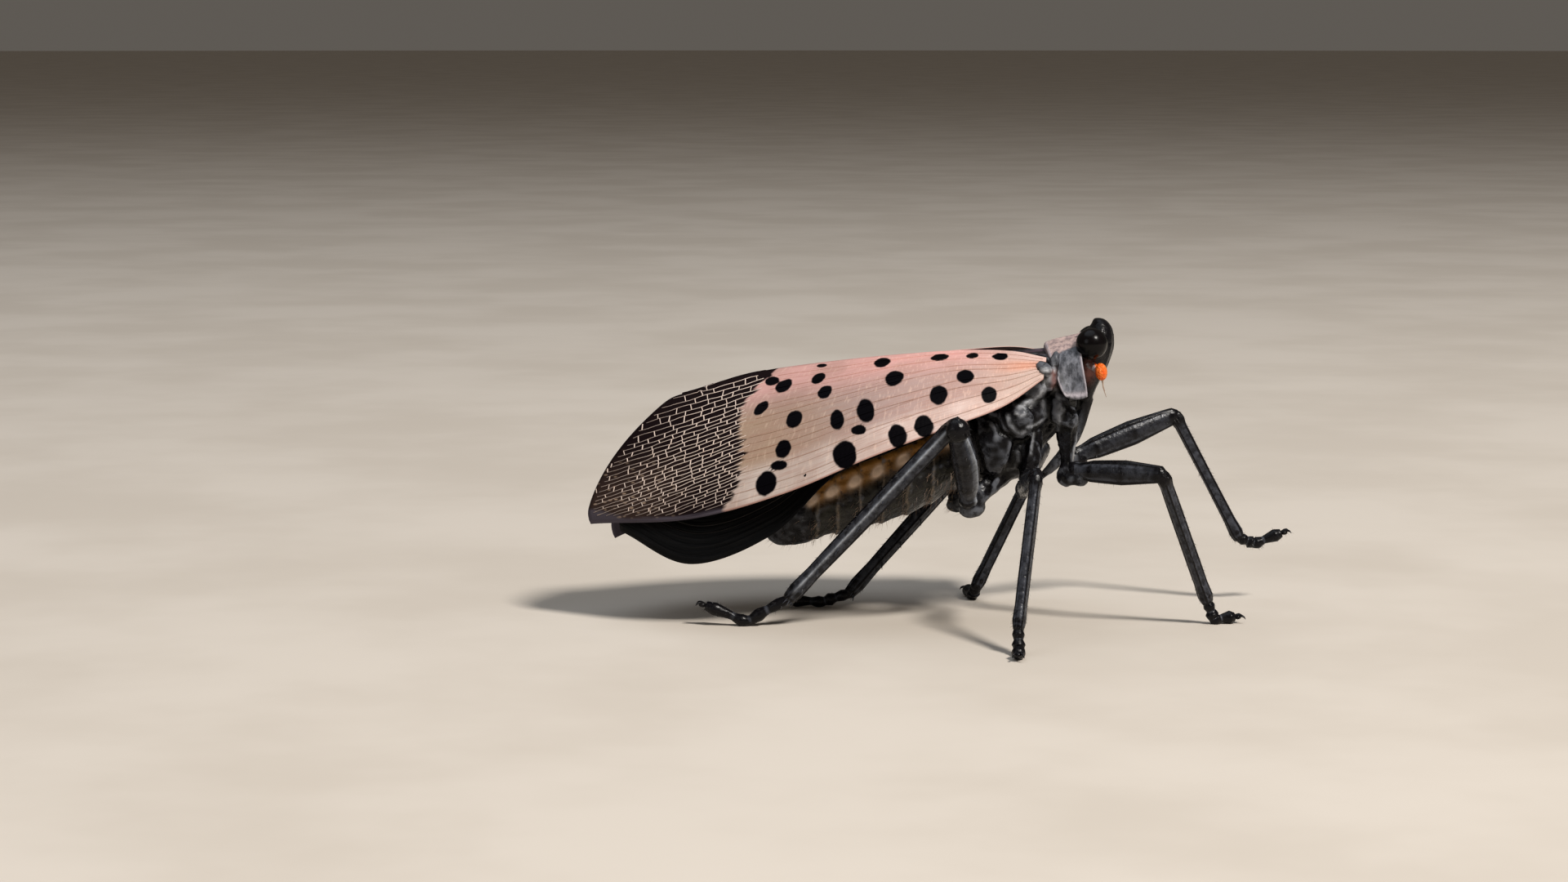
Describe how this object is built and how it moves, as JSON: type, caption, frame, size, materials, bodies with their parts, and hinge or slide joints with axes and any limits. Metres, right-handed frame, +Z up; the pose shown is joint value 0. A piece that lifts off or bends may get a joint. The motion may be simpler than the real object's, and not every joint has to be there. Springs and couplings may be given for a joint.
{
  "type": "spotted lanternfly",
  "caption": "Life-size still model of a spotted lanternfly, a winged plant bug, standing with folded spotted wings and one lifted foreleg.",
  "frame": {"origin": "middle of the footprint, at the level of the soles", "axes": "+X is the way the insect faces, +Y is its left side, +Z is up"},
  "size_m": [0.0318, 0.017, 0.0135],
  "materials": {
    "dark_cuticle": "charcoal-black body cuticle with a faint blue-grey bloom",
    "abdomen": "dark olive-grey segments with pale rims, ochre and cream along the side",
    "pronotum": "pale pinkish-grey saddle, greyer down the sides with a pale rim",
    "tegmen": "pinkish-tan membrane with black spots and a dark, finely netted tip",
    "hindwing": "black satin membrane",
    "eye": "glossy black compound eye",
    "antenna": "bright orange bulb with a thin pale bristle",
    "leg": "charcoal-black legs with a blue-grey bloom"
  },
  "bodies": {
    "root": {"head": "dark_cuticle", "eye_right": "eye", "eye_left": "eye", "antenna_right": "antenna", "antenna_left": "antenna", "rostrum": "dark_cuticle", "thorax": "dark_cuticle", "pronotum": "pronotum", "scutellum": "dark_cuticle", "abdomen": "abdomen", "abdomen_tip": "dark_cuticle", "tegmen_right": "tegmen", "tegmen_left": "tegmen", "hindwing_right": "hindwing", "hindwing_left": "hindwing", "fore_right_coxa": "leg", "fore_right_femur": "leg", "fore_right_tibia": "leg", "fore_right_tarsus": "leg", "fore_left_coxa": "leg", "fore_left_femur": "leg", "fore_left_tibia": "leg", "fore_left_tarsus": "leg", "mid_right_coxa": "leg", "mid_right_femur": "leg", "mid_right_tibia": "leg", "mid_right_tarsus": "leg", "mid_left_coxa": "leg", "mid_left_femur": "leg", "mid_left_tibia": "leg", "mid_left_tarsus": "leg", "hind_right_coxa": "leg", "hind_right_femur": "leg", "hind_right_tibia": "leg", "hind_right_tarsus": "leg", "hind_left_coxa": "leg", "hind_left_femur": "leg", "hind_left_tibia": "leg", "hind_left_tarsus": "leg"}
  },
  "joints": []
}
